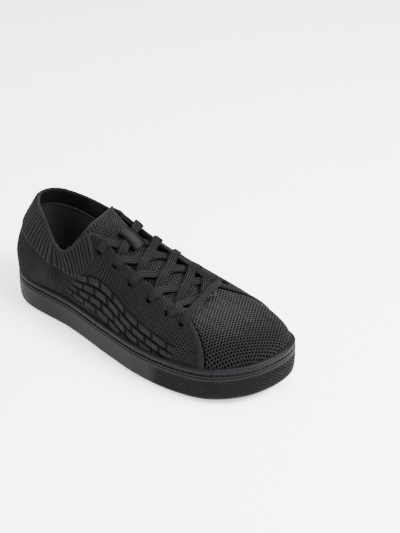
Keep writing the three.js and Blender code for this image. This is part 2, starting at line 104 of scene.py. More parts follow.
def add_camera():
    data = bpy.data.cameras.new("camera")
    data.sensor_fit = "HORIZONTAL"
    data.sensor_width = 36
    data.lens = CAMERA_LENS
    camera = add_object("camera", data)
    look(camera, CAMERA_TARGET, CAMERA_AZIMUTH, CAMERA_ELEVATION, CAMERA_DISTANCE)
    bpy.context.scene.camera = camera


def add_light(name, azimuth, elevation, distance, size, watts):
    data = bpy.data.lights.new(name, "AREA")
    data.size = size
    data.energy = watts
    look(add_object(name, data), LIGHT_TARGET, azimuth, elevation, distance)


def add_lights():
    add_light("key", azimuth=106, elevation=47, distance=1.5, size=0.7, watts=116)
    add_light("fill", azimuth=10, elevation=56, distance=1.6, size=1.2, watts=29)
    add_light("top", azimuth=-150, elevation=70, distance=1.4, size=1.0, watts=26)


def add_world():
    world = bpy.data.worlds.new("studio")
    world.use_nodes = True
    background = world.node_tree.nodes["Background"]
    background.inputs["Color"].default_value = (1, 1, 1, 1)
    background.inputs["Strength"].default_value = 0.7
    bpy.context.scene.world = world


def add_floor():
    paper = Nodes("floor_paper")
    inputs = paper.shader.inputs
    inputs["Base Color"].default_value = (0.95, 0.95, 0.95, 1)
    inputs["Roughness"].default_value = 0.9
    inputs["Emission Color"].default_value = (1, 1, 1, 1)
    inputs["Emission Strength"].default_value = 1.0
    mesh = bpy.data.meshes.new("floor")
    corners = [(x * FLOOR_REACH, y * FLOOR_REACH, 0) for x, y in ((-1, -1), (1, -1), (1, 1), (-1, 1))]
    mesh.from_pydata(corners, [], [(0, 1, 2, 3)])
    mesh.materials.append(paper.material)
    add_object("floor", mesh)


# ---- the master surface ----

def mix(a, b, f):
    return a + (b - a) * f


def smooth(x, low, high):
    """0 below low, 1 above high, and a soft step between them."""
    f = np.clip((x - low) / (high - low), 0, 1)
    return f * f * (3 - 2 * f)


def turn(k):
    return k / TURNS


def unit(vectors):
    return vectors / np.maximum(np.linalg.norm(vectors, axis=-1, keepdims=True), 1e-9)


def closed_curve(points, u):
    """A smooth closed curve through the points; u counts one whole round as 1."""
    n = len(points)
    place = np.mod(u, 1.0) * n
    k = np.floor(place).astype(int) % n
    t = (place - np.floor(place))[..., None]
    before, here, there, after = (points[(k + i) % n] for i in (-1, 0, 1, 2))
    leave, arrive = (there - before) / 2, (after - here) / 2
    cubic = 2 * here - 2 * there + leave + arrive
    square = -3 * here + 3 * there - 2 * leave - arrive
    return cubic * t**3 + square * t**2 + leave * t + here


def outline_centre():
    once_round = closed_curve(SOLE_POINTS, np.linspace(0, 1, 721))
    return (once_round.min(0) + once_round.max(0)) / 2 - np.array([SOLE_FORWARD, 0])


OUTLINE_CENTRE = outline_centre()


def outline(u, inset):
    """The sole's outline, moved inwards by inset."""
    step = 1e-4
    at = closed_curve(SOLE_POINTS, u) - OUTLINE_CENTRE
    along = unit(closed_curve(SOLE_POINTS, u + step) - closed_curve(SOLE_POINTS, u - step))
    inwards = np.stack([-along[..., 1], along[..., 0]], -1)
    return at + inwards * np.asarray(inset)[..., None]


def toe_spring(x):
    """How far the toe end is lifted off the ground."""
    return 8.0 * np.maximum(0, (x - 50) / 90) ** 2


def seat(x):
    """The height on which the foot's board lies, higher at the heel."""
    return mix(19.0, 13.0, smooth(x, -60, 40)) + toe_spring(x)


def surface(u, v):
    """The outer face of the knit, which rises from the sole and leans in to the opening."""
    u, v = np.broadcast_arrays(np.asarray(u, float), np.asarray(v, float))
    base = outline(u, WALL + 1)
    edge = closed_curve(OPENING_POINTS, u)
    low = seat(base[..., 0]) + GAP
    last = np.radians(mix(42, 84, smooth(edge[..., 0], -60, 70)))
    across = (1 - np.cos(v * last)) / (1 - np.cos(last))
    rise = np.sin(v * last) / np.sin(last)
    fullness = mix(4.5, 9, smooth(base[..., 0], 20, 110)) * np.sin(np.pi * v) * smooth(v, 0, 0.4)
    out = unit(base - edge[..., :2])
    # just above the sole the knit bulges out towards the rim, most of all round the heel
    swell = 3.4 + 2.2 * smooth(-base[..., 0], 60, 120) + 0.8 * smooth(base[..., 0], 60, 125)
    swell = swell * smooth(v, 0.02, 0.12) * (1 - smooth(v, 0.25, 0.95))
    flat = mix(base, edge[..., :2], across[..., None]) + out * fullness[..., None] * 0.7
    flat = flat + (outline(u, WALL) - base) * swell[..., None]
    height = mix(low, edge[..., 2], rise) + fullness * 0.1
    return np.concatenate([flat, height[..., None]], -1)


def outward(u, v):
    """The direction that points away from the knit's outer face."""
    step = 0.004
    du = surface(u + step, v) - surface(u - step, v)
    dv = surface(u, np.minimum(1, v + step)) - surface(u, np.maximum(0, v - step))
    return unit(np.cross(du, dv))


def under(u, v, depth):
    return surface(u, v) - outward(u, v) * np.asarray(depth)[..., None]


def arc(points, axis):
    """Length along an axis of a grid of points, from its first row or column."""
    steps = np.linalg.norm(np.diff(points, axis=axis), axis=-1)
    start = np.zeros_like(np.take(steps, [0], axis))
    return np.concatenate([start, np.cumsum(steps, axis)], axis)


# ---- meshes ----

# One unit of UV is this many millimetres.
UV_MM = 10.0


def grid_faces(rows, columns, closed=False):
    """The four-cornered faces of a grid of points; closed joins its last column to its first."""
    r, c = np.meshgrid(np.arange(rows - 1), np.arange(columns if closed else columns - 1), indexing="ij")
    d = (c + 1) % columns
    corners = [r * columns + c, r * columns + d, (r + 1) * columns + d, (r + 1) * columns + c]
    return np.stack(corners, -1).reshape(-1, 4)


def add_mesh(name, points, faces, material, uv, shade=None, weld=False, open_mesh=None):
    """A smooth-shaded mesh from points in millimetres; uv, shade and open_mesh are per point."""
    points, uv = points.reshape(-1, 3), uv.reshape(-1, 2)
    mesh = bpy.data.meshes.new(name)
    mesh.vertices.add(len(points))
    mesh.vertices.foreach_set("co", (points * MM).astype(np.float32).ravel())
    mesh.loops.add(faces.size)
    mesh.loops.foreach_set("vertex_index", faces.astype(np.int32).ravel())
    mesh.polygons.add(len(faces))
    mesh.polygons.foreach_set("loop_start", np.arange(len(faces), dtype=np.int32) * faces.shape[1])
    mesh.polygons.foreach_set("use_smooth", np.ones(len(faces), bool))
    mesh.update(calc_edges=True)
    uv_layer = mesh.uv_layers.new(name="UVMap")
    uv_layer.data.foreach_set("uv", (uv[faces.ravel()] / UV_MM).astype(np.float32).ravel())
    # shade is painted shade and painted highlight, which the materials multiply into their colour and shine
    shade = np.ones(len(points)) if shade is None else shade
    open_mesh = np.zeros(len(points)) if open_mesh is None else open_mesh
    for key, value in (("shade", shade), ("open_mesh", open_mesh)):
        level = mesh.attributes.new(key, "FLOAT", "POINT")
        level.data.foreach_set("value", value.astype(np.float32).ravel())
    mesh.materials.append(material)
    piece = add_object(name, mesh)
    if weld:
        apply_modifier(piece, "WELD", merge_threshold=0.00002)
    return piece


def stack_uv(points, along):
    """UV for a stack of rings: along each ring, and up the stack by their mean distance."""
    return np.stack(np.broadcast_arrays(along, arc(points, 0).mean(1, keepdims=True)), -1)


def apply_modifier(piece, kind, **settings):
    modifier = piece.modifiers.new("shape", kind)
    for key, value in settings.items():
        setattr(modifier, key, value)
    graph = bpy.context.evaluated_depsgraph_get()
    made = bpy.data.meshes.new_from_object(piece.evaluated_get(graph))
    made.name = piece.name
    piece.modifiers.clear()
    piece.data = made
    return piece


def drop_unused(points, faces, *fields):
    """Leaves out the points that no face uses, and their values in each field."""
    used, faces_now = np.unique(faces, return_inverse=True)
    return points[used], faces_now.reshape(faces.shape), [f[used] for f in fields]


def finish_piece(piece, nodes, bends=True, body=REAR):
    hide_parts(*nodes)
    if bends:
        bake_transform(piece)
    else:
        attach(piece, body)
    return piece


class Patch:
    """A grid of points on the master surface, rows along v and columns along u."""

    def __init__(self, u, v):
        self.u, self.v = np.broadcast_arrays(u, v)
        self.base = surface(self.u, self.v)
        self.normal = outward(self.u, self.v)
        middle = self.base.shape[0] // 2
        self.along = np.broadcast_to(arc(self.base, 1)[middle], self.u.shape)
        self.up = arc(self.base, 0)
        self.down = self.up[-1] - self.up
        self.uv = np.stack([self.along, self.up], -1)
        # flat lays the patch out on a plane, hanging from the edge of the opening
        edge = closed_curve(OPENING_POINTS, self.u)[..., :2]
        out = outline(self.u, 0.0) - outline(self.u, 1.0)
        last_row, full = surface(self.u[-1], self.v[-1]), surface(self.u[-1], 1.0)
        top_gap = np.linalg.norm(last_row - full, axis=-1) * np.sign(1 - self.v[-1])
        self.flat = edge + out * (self.down + top_gap)[..., None]

    def piece(self, name, raised, material, uv, shade, thickness, eyelets=(), cut=None, open_mesh=None):
        """A sheet that follows the patch, raised off it, with its eyelets and any cut left out."""
        points = (self.base + self.normal * raised[..., None]).reshape(-1, 3)
        faces = grid_faces(*self.u.shape)
        if cut is not None:
            faces = faces[~cut.reshape(-1)[faces].any(1)]
        open_mesh = np.zeros(self.u.shape) if open_mesh is None else open_mesh
        uv, shade, open_mesh = uv.reshape(-1, 2), shade.reshape(-1), open_mesh.reshape(-1)
        for eyelet in eyelets:
            points, faces = punch(points, faces, self.base.reshape(-1, 3), eyelet)
        points, faces, (uv, shade, open_mesh) = drop_unused(points, faces, uv, shade, open_mesh)
        made = add_mesh(name, points, faces, material, uv, shade, open_mesh=open_mesh)
        return apply_modifier(made, "SOLIDIFY", thickness=thickness * MM, offset=-1)


def punch(points, faces, base, eyelet):
    """Cuts a round hole, moving the points inside it that stay in use onto its edge."""
    centre = surface(eyelet, eyelet_v(eyelet))
    away = np.linalg.norm(base - centre, axis=-1)
    inside = away < EYELET_RADIUS
    faces = faces[~inside[faces].all(1)]
    push = (base - centre) * (EYELET_RADIUS / np.maximum(away, 0.2) - 1)[:, None]
    return np.where(inside[:, None], points + push, points), faces


# ---- materials ----

class Nodes:
    """Short names for building one material's node tree."""

    def __init__(self, name):
        self.material = bpy.data.materials.new(name)
        self.material.use_nodes = True
        self.tree = self.material.node_tree
        self.shader = self.tree.nodes["Principled BSDF"]

    def add(self, kind, **settings):
        node = self.tree.nodes.new(kind)
        for key, value in settings.items():
            setattr(node, key, value)
        return node

    def link(self, source, target):
        self.tree.links.new(source, target)

    def math(self, operation, a, b=0.0):
        node = self.add("ShaderNodeMath", operation=operation)
        for socket, value in zip(node.inputs, (a, b)):
            if isinstance(value, (int, float)):
                socket.default_value = value
            else:
                self.link(value, socket)
        return node.outputs[0]

    def times(self, first, *others):
        for other in others:
            first = self.math("MULTIPLY", first, other)
        return first

    def attribute(self, name):
        return self.add("ShaderNodeAttribute", attribute_name=name).outputs["Fac"]

    def ramp(self, factor, low, high):
        """Spreads 0 to 1 over low to high, and holds the ends."""
        node = self.add("ShaderNodeMapRange")
        self.link(factor, node.inputs["Value"])
        node.inputs["To Min"].default_value = low
        node.inputs["To Max"].default_value = high
        return node.outputs[0]

    def noise(self, coordinate, scale, detail=2.0):
        node = self.add("ShaderNodeTexNoise")
        node.inputs["Scale"].default_value = scale
        node.inputs["Detail"].default_value = detail
        self.link(coordinate, node.inputs["Vector"])
        return node.outputs["Fac"]

    def object_place(self):
        return self.add("ShaderNodeTexCoord").outputs["Object"]

    def uv(self):
        """UV in millimetres, as separate X and Y."""
        place = self.add("ShaderNodeTexCoord").outputs["UV"]
        split = self.add("ShaderNodeSeparateXYZ")
        self.link(place, split.inputs[0])
        return tuple(self.times(split.outputs[i], UV_MM) for i in (0, 1))

    def wave(self, value, pitch, phase=0.0):
        """A sine, -1 to 1, that repeats at a pitch."""
        return self.math("SINE", self.math("ADD", self.times(value, 2 * math.pi / pitch), phase))

    def colour(self, dark, light, factor):
        node = self.add("ShaderNodeMix", data_type="RGBA")
        node.inputs["A"].default_value = (*dark, 1)
        node.inputs["B"].default_value = (*light, 1)
        self.link(factor, node.inputs["Factor"])
        self.link(node.outputs["Result"], self.shader.inputs["Base Color"])

    def bump(self, height, distance):
        node = self.add("ShaderNodeBump")
        node.inputs["Distance"].default_value = distance * MM
        self.link(height, node.inputs["Height"])
        self.link(node.outputs["Normal"], self.shader.inputs["Normal"])

    def solid(self, pitch):
        """0 in the round holes of a staggered mesh laid over the UV, 1 elsewhere."""
        x, y = self.uv()
        slant = self.times(y, 1 / math.sqrt(3))
        rows = self.wave(y, pitch * math.sqrt(3) / 2, math.pi / 2)
        left = self.wave(self.math("ADD", x, slant), pitch, math.pi / 2)
        right = self.wave(self.math("SUBTRACT", x, slant), pitch, math.pi / 2)
        total = self.math("ADD", self.math("ADD", rows, left), right)
        hole = self.ramp(self.math("ADD", total, 0.25), 0.0, 0.98)
        return self.math("SUBTRACT", 1.0, self.times(hole, self.attribute("open_mesh")))

    def gloss(self, level, specular, sheen):
        """Shine that fades together with the shade, so that holes and grooves stay black."""
        self.link(self.times(level, specular), self.shader.inputs["Specular IOR Level"])
        self.link(self.times(level, sheen), self.shader.inputs["Sheen Weight"])
        self.shader.inputs["Sheen Roughness"].default_value = 0.45

    def roughness(self, factor, low, high):
        self.link(self.ramp(factor, low, high), self.shader.inputs["Roughness"])


def knitted(name, dark, light, pitch, hole_pitch, sheen):
    """Rows of small V-shaped stitches, fuzzy, with painted shade that makes its holes and grooves black."""
    n = Nodes(name)
    x, y = n.uv()
    lean = n.math("ABSOLUTE", n.wave(x, pitch * 2))
    rows = n.wave(n.math("ADD", y, n.times(lean, pitch * 0.45)), pitch * 0.8)
    columns = n.math("ABSOLUTE", n.wave(x, pitch * 2, math.pi / 2))
    stitch = n.math("ADD", n.times(rows, 0.5), columns)
    fuzz = n.noise(n.object_place(), 2600)
    cloud = n.noise(n.object_place(), 55, 4)
    # painted shade: the yarn is darkened by the shade attribute in grooves and blacked out in the mesh holes
    yarn = n.times(n.ramp(stitch, 0.55, 1.0), n.attribute("shade"), n.solid(hole_pitch))
    level = n.times(yarn, n.ramp(cloud, 0.75, 1.2), n.ramp(fuzz, 0.65, 1.3))
    n.colour(dark, light, level)
    n.gloss(level, 0.12, sheen)
    n.roughness(fuzz, 0.77, 0.93)
    n.bump(n.math("ADD", stitch, n.times(fuzz, 0.5)), 0.3)
    return n.material


def moulded(name, dark, light, roughness, grain, depth):
    """Satin moulded rubber, foam or plastic with a fine grain and cloudy scuffs."""
    n = Nodes(name)
    place = n.object_place()
    fine = n.noise(place, grain, 3)
    cloud = n.noise(place, 38, 5)
    level = n.times(n.ramp(cloud, 0.5, 1.0), n.attribute("shade"))
    n.colour(dark, light, level)
    n.gloss(level, 0.1, 0.0)
    n.roughness(cloud, roughness - 0.08, roughness + 0.1)
    n.bump(fine, depth)
    return n.material


def woven(name, dark, light, pitch, roughness, sheen=0.15, depth=0.15):
    """A plain weave or a tight braid, its threads crossing at a slant."""
    n = Nodes(name)
    x, y = n.uv()
    one = n.wave(n.math("ADD", x, y), pitch)
    other = n.wave(n.math("SUBTRACT", x, y), pitch)
    threads = n.times(one, other)
    fuzz = n.noise(n.object_place(), 2200)
    level = n.times(n.ramp(threads, 0.45, 0.9), n.attribute("shade"), n.ramp(fuzz, 0.75, 1.25))
    n.colour(dark, light, level)
    n.roughness(fuzz, roughness - 0.06, roughness + 0.06)
    n.gloss(level, 0.16, sheen)
    n.bump(n.math("ADD", threads, fuzz), depth)
    return n.material


BLACK = (0.0004, 0.0004, 0.0005)
FINISH = {
    "knit": knitted("knit_yarn", BLACK, (0.0075, 0.0071, 0.0081), 1.3, KNIT_PITCH, 0.03),
    "rib": knitted("rib_yarn", BLACK, (0.0066, 0.0062, 0.0071), 1.1, KNIT_PITCH, 0.03),
    "mesh": knitted("mesh_yarn", BLACK, (0.0085, 0.0081, 0.0091), 1.3, MESH_PITCH, 0.06),
    "lace": woven("lace_braid", BLACK, (0.0085, 0.0081, 0.0091), 0.9, 0.75, 0.05),
    "rubber": moulded("sole_rubber", (0.0012, 0.0011, 0.0014), (0.0045, 0.0041, 0.0053), 0.55, 900, 0.05),
    "foam": moulded("foam_cells", (0.03, 0.03, 0.032), (0.07, 0.07, 0.075), 0.85, 1500, 0.2),
    "board": woven("board_fibre", (0.06, 0.055, 0.05), (0.16, 0.15, 0.13), 1.6, 0.85),
    "stiffener": woven("stiffener_film", (0.002, 0.002, 0.002), (0.008, 0.0078, 0.0075), 1.2, 0.6),
    "lining": woven("lining_cloth", BLACK, (0.0125, 0.0118, 0.0132), 0.8, 0.85, 0.03),
    "webbing": woven("keeper_webbing", (0.002, 0.002, 0.0023), (0.0042, 0.004, 0.0045), 0.7, 0.6, 0.03, 0.06),
    "thread": woven("stitch_thread", (0.001, 0.0009, 0.0012), (0.004, 0.0037, 0.0046), 0.5, 0.55),
    "film": moulded("tip_film", (0.002, 0.002, 0.002), (0.006, 0.006, 0.006), 0.25, 400, 0.02),
}


# ---- patterns ----

def honeycomb(x, y, pitch, radius):
    """1 in the holes of a staggered mesh, 0 between them."""
    row_pitch = pitch * math.sqrt(3) / 2
    best = np.full(np.shape(x), 1e9)
    row = np.round(y / row_pitch)
    for step in (-1, 0, 1):
        line = row + step
        shifted = x - (line % 2) * pitch / 2
        dx = shifted - np.round(shifted / pitch) * pitch
        best = np.minimum(best, np.hypot(dx, y - line * row_pitch))
    return 1 - smooth(best, radius * 0.7, radius * 1.25)


def lines(value, pitch, groove):
    """1 in narrow grooves repeated at a pitch, 0 on the lands."""
    away = np.abs(value / pitch - np.round(value / pitch)) * pitch
    return 1 - smooth(away, groove * 0.3, groove)


# ---- knitted upper ----

# The toe seam on each side, from the sole (f 0) to the opening (f 1).
def seam_lateral(f):
    return turn(6.75 + 0.5 * f * f)


def seam_medial(f):
    return turn(11.25 - 0.5 * f * f)


COLLAR_FRONT = turn(3.87)
COLLAR_FRONT_MEDIAL = turn(14.1) - 1
FIRM_DEPTH = KNIT + 1.5 * GAP
LINING_DEPTH = FIRM_DEPTH + STIFFENER + GAP
LATERAL_EYELETS = np.linspace(turn(6.45), turn(4.06), EYELET_PAIRS)
MEDIAL_EYELETS = np.linspace(turn(11.34), turn(13.75), EYELET_PAIRS)


def eyelet_v(u):
    """How far up the side an eyelet lies."""
    return np.where(np.asarray(u) < 0.5, mix(0.84, 0.7, smooth(u, turn(4), turn(6.6))), 0.86)


def rib_low(u):
    """The lower edge of the ribbed collar."""
    return mix(0.6, 0.77, smooth(np.abs(u), turn(3.2), turn(4)))


def from_eyelets(patch, eyelets):
    """The distance to the nearest eyelet."""
    away = np.full(patch.u.shape, 1e9)
    for u in eyelets:
        away = np.minimum(away, np.linalg.norm(patch.base - surface(u, eyelet_v(u)), axis=-1))
    return away


BRICK_LENGTH, BRICK_ROWS, BRICK_ROW_HEIGHT = 15.0, 4, 0.1


def brick_relief(k, v, along):
    """Staggered bricks in rows below the eyelets: the grooves round them and where they are."""
    row = (0.62 - 0.1 * (k - 3.6) - v) / BRICK_ROW_HEIGHT
    shift = (np.floor(row) % 2) * BRICK_LENGTH / 2
    joint = 0.75 * lines(along + shift, BRICK_LENGTH, 1.8)
    between = lines(row, 1.0, 0.19)
    inside = smooth(row, -0.15, 0.1) * (1 - smooth(row, BRICK_ROWS - 0.1, BRICK_ROWS + 0.15))
    inside = inside * smooth(k + 0.12 * row, 3.25, 3.45) * (1 - smooth(k + 0.05 * row, 5.85, 6.05))
    return np.maximum(joint, between) * inside, inside


def quarter_patch(side):
    """The grid of one knitted side from the heel to the toe seam, and the place of that seam."""
    lateral = side == "lateral"
    front_step = COLLAR_FRONT if lateral else COLLAR_FRONT_MEDIAL
    f = np.linspace(0, 1, 150)[:, None]
    end = seam_lateral(f) if lateral else seam_medial(f) - 1
    behind = np.linspace(turn(0.01 if lateral else -0.01), front_step, 270)[None, :-1] + 0 * f
    before = mix(front_step, end, np.linspace(0, 1, 190)[None, :])
    u = np.concatenate([behind, before], 1)
    return Patch(u if lateral else u[:, ::-1], f), end, abs(front_step)


def quarter(side):
    """One knitted side: bricks, mesh by the eyelets, ribs down the heel, a firm front edge."""
    lateral = side == "lateral"
    eyelets = LATERAL_EYELETS if lateral else MEDIAL_EYELETS - 1
    patch, end, front_step = quarter_patch(side)
    k = np.abs(patch.u) * TURNS
    under_ribs = (np.abs(patch.u) < front_step) & (patch.v > rib_low(patch.u) + 0.03)
    from_front = np.linalg.norm(patch.base - surface(end, patch.v), axis=-1)
    from_heel = patch.along if lateral else patch.along[:, -1:] - patch.along
    away = from_eyelets(patch, eyelets)

    grooves, bricks = brick_relief(k, patch.v, patch.along)
    border = 1 - smooth(from_front, 4.0, 5.2)
    heel_ribs = 1 - smooth(from_heel, 20, 26)
    open_mesh = smooth(k, 3.6, 4.1) * (1 - bricks) * (1 - border) * smooth(patch.v, 0.1, 0.2)
    open_mesh = open_mesh * smooth(away, 4.4, 5.4)
    edge = 1 - smooth(1 - patch.v, 0.015, 0.035)
    holes = honeycomb(patch.flat[..., 0], patch.flat[..., 1], KNIT_PITCH, 0.7) * open_mesh * (1 - edge)
    dense = (1 - open_mesh) * (1 - bricks) * (1 - heel_ribs) * (1 - border)
    slant = lines(patch.along * 0.8 + patch.up * 0.6, 2.4, 0.7) * dense
    columns_at_heel = lines(patch.along, 3.0, 0.8) * heel_ribs
    rim = smooth(away, 2.4, 3.2) * (1 - smooth(away, 4.0, 5.0))

    raised = 0.5 * bricks * (1 - grooves) - 0.8 * grooves - 0.8 * holes - 0.35 * slant
    raised = raised - 0.4 * columns_at_heel + 0.45 * border + 0.3 * rim
    raised = raised - 0.7 * (1 - smooth(from_front, 0, 0.9))
    raised = raised - 0.5 * (1 - smooth(1 - patch.v, 0, 0.012))
    # painted shade: the brick grooves, the slanted stitch lines and the heel columns are darkened in the
    # colour
    dark = np.maximum.reduce([grooves, 0.7 * slant, 0.75 * columns_at_heel])
    shade = (1 - 0.78 * dark) * mix(0.85, 1.1, open_mesh)
    made = patch.piece(f"quarter_{side}_knit", raised, FINISH["knit"], patch.flat, shade, KNIT,
                       eyelets, under_ribs, open_mesh * (1 - edge))
    return finish_piece(made, [f"quarter_{side}"])


TOE_CREST = np.array([76, 1, 60.5])


def laid_flat(points):
    """Where the points of the domed toe lie on the flat sheet of mesh it was cut from."""
    away = points - TOE_CREST
    sideways = away[..., :2]
    reach = np.maximum(np.linalg.norm(sideways, axis=-1), 0.5)
    length = np.maximum(np.linalg.norm(away, axis=-1), 0.5)
    return sideways * (length / reach)[..., None]


def toe_box():
    """The domed mesh over the toes, tucked under the front edges of both quarters."""
    rows, columns = 230, 360
    f = np.linspace(0, 1, rows)[:, None]
    tuck = turn(0.06)
    u = mix(seam_lateral(f) - tuck, seam_medial(f) + tuck, np.linspace(0, 1, columns)[None, :])
    # its upper edge reaches on under the lace at the toe end of the opening
    tip = smooth(u * TURNS, 7.9, 8.7) * (1 - smooth(u * TURNS, 9.4, 10.2))
    patch = Patch(u, f * (1 + 0.075 * tip))
    from_lateral = np.linalg.norm(patch.base - surface(seam_lateral(f), patch.v), axis=-1)
    from_medial = np.linalg.norm(patch.base - surface(seam_medial(f), patch.v), axis=-1)
    from_seam = np.minimum(
        from_lateral * np.sign(patch.u - seam_lateral(f)), from_medial * np.sign(seam_medial(f) - patch.u))
    below = mix(2.1, 0.25, smooth(from_seam, 0, 2.2))
    sheet = laid_flat(patch.base)
    holes = honeycomb(sheet[..., 0], sheet[..., 1], MESH_PITCH, 0.9)
    hem = 1 - smooth(1 - f, 0.01, 0.03) + 0 * u
    raised = -below - 0.8 * holes * (1 - hem)
    # painted shade near and under the quarters' edges, and a painted highlight towards the top of the dome
    shade = mix(0.4, 1, smooth(from_seam, -0.5, 2.0)) * mix(0.75, 1.4, smooth(patch.v, 0.5, 0.95))
    made = patch.piece("toe_box_mesh", raised, FINISH["mesh"], sheet, shade, KNIT - 0.4,
                       open_mesh=1 - hem)
    return finish_piece(made, ["toe_box"])


RIB_COUNT, COLLAR_ROLL = 58, 0.95


def rib_collar():
    """Ribs that stand across the collar's edge, rolled over it and folded down inside."""
    columns = 900
    u = np.linspace(COLLAR_FRONT_MEDIAL, COLLAR_FRONT, columns)
    normal, top = outward(u, 1.0), surface(u, 1.0)
    along = arc(top[None], 1)[0]
    rib = np.abs(np.sin(np.pi * RIB_COUNT * along / along[-1])) ** 0.5
    low = rib_low(u)
    upwards = unit(top - surface(u, 0.985))
    ends = smooth(along, 0, 2.0) * smooth(along[-1] - along, 0, 2.0)
    layers, shades = [], []

    def keep(points, shade):
        layers.append(points)
        shades.append(shade)

    # painted shade in the narrow gaps between the ribs
    for f in np.linspace(0, 1, 26):
        v = mix(low - 0.005, 0.985, f)
        fade = smooth(f, 0.0, 0.1) * (1 - smooth(f, 0.95, 1.0))
        grow = mix(mix(-0.5, 0.25, smooth(f, 0, 0.12)), 1.75, fade * rib * ends)
        keep(under(u, v, -grow + 0.1), mix(1, mix(0.04, 1.1, rib), fade * ends))
    centre = top - normal * COLLAR_ROLL
    for angle in np.linspace(0, math.pi, 8):
        outwards = normal * math.cos(angle) * (COLLAR_ROLL + 0.25)
        keep(centre + outwards + upwards * math.sin(angle) * COLLAR_ROLL, np.ones(columns))
    # the part folded down inside gets painted shade
    for f in np.linspace(0, 1, 12):
        inner = mix(0.98, mix(low, 1, 0.2), f)
        depth = 2 * COLLAR_ROLL + 0.25 + 0.25 * rib * smooth(f, 0, 0.2)
        keep(under(u, inner, depth), mix(0.55, 0.35, rib))
    points = np.array(layers)
    made = add_mesh("collar_ribbing", points, grid_faces(*points.shape[:2]), FINISH["rib"],
                    stack_uv(points, along), np.array(shades))
    apply_modifier(made, "SOLIDIFY", thickness=0.6 * MM, offset=-1)
    return finish_piece(made, ["rib_collar"], bends=False)


def collar_lining():
    """The cloth inside the collar and heel, with a stitched seam along its upper edge."""
    rows, columns = 70, 300
    f = np.linspace(0, 1, rows)[:, None]
    u = np.linspace(turn(-3.85), turn(3.85), columns)[None, :]
    low = rib_low(u)
    patch = Patch(u, mix(0.06, mix(low, 1, 0.42), f))
    seam = 1 - smooth(np.abs(patch.down - 1.6), 0.2, 0.7)
    dots = 0.5 + 0.5 * np.cos(2 * np.pi * patch.along / 2.6)
    raised = np.full(patch.u.shape, -LINING_DEPTH - 0.1)
    shade = mix(mix(0.8, 1.5, smooth(patch.down, 1.6, 2.4)), 1.9 * dots, seam)
    made = patch.piece("heel_lining", raised, FINISH["lining"], patch.uv, shade, LINING + 0.2)
    return finish_piece(made, ["collar_lining"], bends=False)


def stiffener(name, node, turns, heights, eyelets=(), bends=True, body=REAR):
    """A thin sheet of stiffener laid against the inside of the knit."""
    u = np.linspace(turn(turns[0]), turn(turns[1]), 260)[None, :]
    v = np.linspace(heights[0], heights[1], 48)[:, None]
    patch = Patch(u, v)
    made = patch.piece(name, np.full(patch.u.shape, -FIRM_DEPTH), FINISH["stiffener"],
                       patch.uv, np.ones(patch.u.shape), STIFFENER, eyelets)
    return finish_piece(made, [node], bends, body)


def stiffeners():
    stiffener("eyestay_lateral_backing", "eyestay_lateral", (3.93, 6.7), (0.6, 0.985), LATERAL_EYELETS)
    stiffener("eyestay_medial_backing", "eyestay_medial", (11.1, 13.95), (0.64, 0.985), MEDIAL_EYELETS)
    stiffener("heel_counter_sheet", "heel_counter", (-2.4, 2.4), (0.04, 0.56), bends=False)
    stiffener("toe_puff_sheet", "toe_puff", (7.3, 10.7), (0.05, 0.55), bends=False, body=FORE)


# ---- tongue ----

LACE_TOP = -(LACE_THICKNESS / 2 + LACE_ROOM / 2)
LACE_UNDER = FIRM_DEPTH + STIFFENER + LACE_ROOM + LACE_THICKNESS / 2
TONGUE_DEPTH = LACE_UNDER + LACE_THICKNESS / 2 + 2 * LACE_ROOM
TONGUE_THICKNESS, TONGUE_FLANK, TONGUE_END = 2.6, 0.55, 1.24
TONGUE_CROWN, TONGUE_FREE_CROWN, TONGUE_LEAN = 3.0, 22, np.array([0.58, 0.3, 0.95])


# Each edge of the opening, from its toe end (t 0) to the collar (t 1).
def outer_row(t):
    return turn(mix(7.6, 4.05, t))


def inner_row(t):
    return turn(mix(10.4, 13.95, t))


def tongue_points(t, w):
    """The tongue's outer face: t from its toe end past the collar, w from side to side, -1 to 1."""
    free = smooth(t, 1, TONGUE_END)
    reach = np.minimum(1, np.abs(w) / TONGUE_FLANK)
    out = np.clip((np.abs(w) - TONGUE_FLANK) / (1 - TONGUE_FLANK), 0, 1)
    depth = TONGUE_DEPTH - 5 * smooth(t, 0.85, 1.1) * (1 - out)
    side = np.where(w < 0, outer_row(t), inner_row(t))
    flank = under(side, mix(1, mix(0.72, 0.9, free), out), depth)
    share = np.clip((1 + w / TONGUE_FLANK) / 2, 0, 1)[..., None]
    middle = mix(under(outer_row(t), 1.0, depth), under(inner_row(t), 1.0, depth), share)
    power = mix(2, np.where(w < 0, 4, 2.3), free)
    crown = mix(TONGUE_CROWN, TONGUE_FREE_CROWN, free) * (1 - reach ** power)
    middle = middle + TONGUE_LEAN * crown[..., None]
    return np.where((reach >= 1)[..., None], flank, middle)


